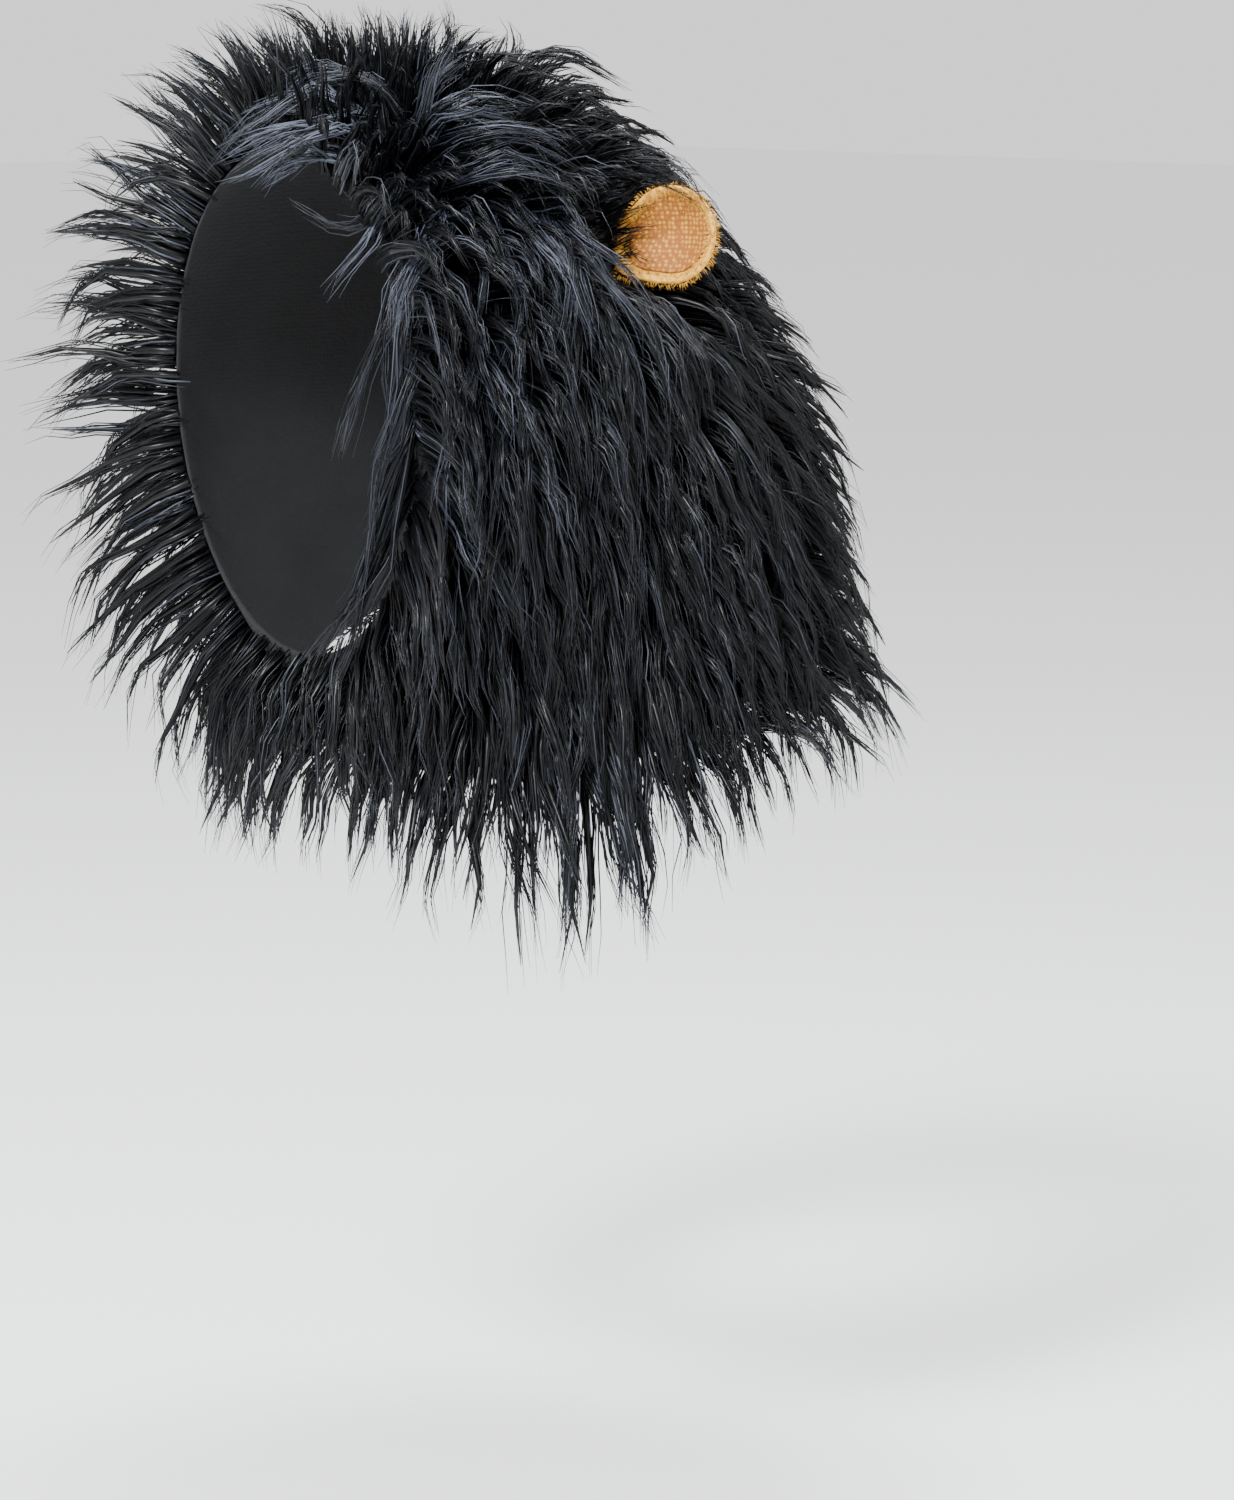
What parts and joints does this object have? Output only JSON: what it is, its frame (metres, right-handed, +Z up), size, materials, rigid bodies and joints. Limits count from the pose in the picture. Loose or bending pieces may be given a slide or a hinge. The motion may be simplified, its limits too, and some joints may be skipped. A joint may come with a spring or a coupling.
{
  "type": "pet lion mane wig",
  "caption": "Soft knit hood covered in long shaggy fur, open at the face and the neck, with small round ears, worn by a large dog as a lion mane.",
  "frame": {"origin": "inside of the hood at the crown of the head, where the wig sits on the dog", "axes": "+Z up, the face looks along -Y, the wearer's left is +X"},
  "size_m": [0.3413, 0.2932, 0.3807],
  "materials": {
    "knit_cloth": "matt black warp knit backing",
    "mane_fur": "long glossy black acrylic pile",
    "ear_plush": "short golden plush",
    "ear_lining": "orange brown mesh knit"
  },
  "bodies": {
    "root": {"hood": "knit_cloth", "crown_fur": "mane_fur", "left_side_fur": "mane_fur", "right_side_fur": "mane_fur", "bib_fur": "mane_fur", "left_ear_back": "ear_plush", "right_ear_back": "ear_plush", "left_ear_inner": "ear_lining", "right_ear_inner": "ear_lining"}
  },
  "joints": []
}
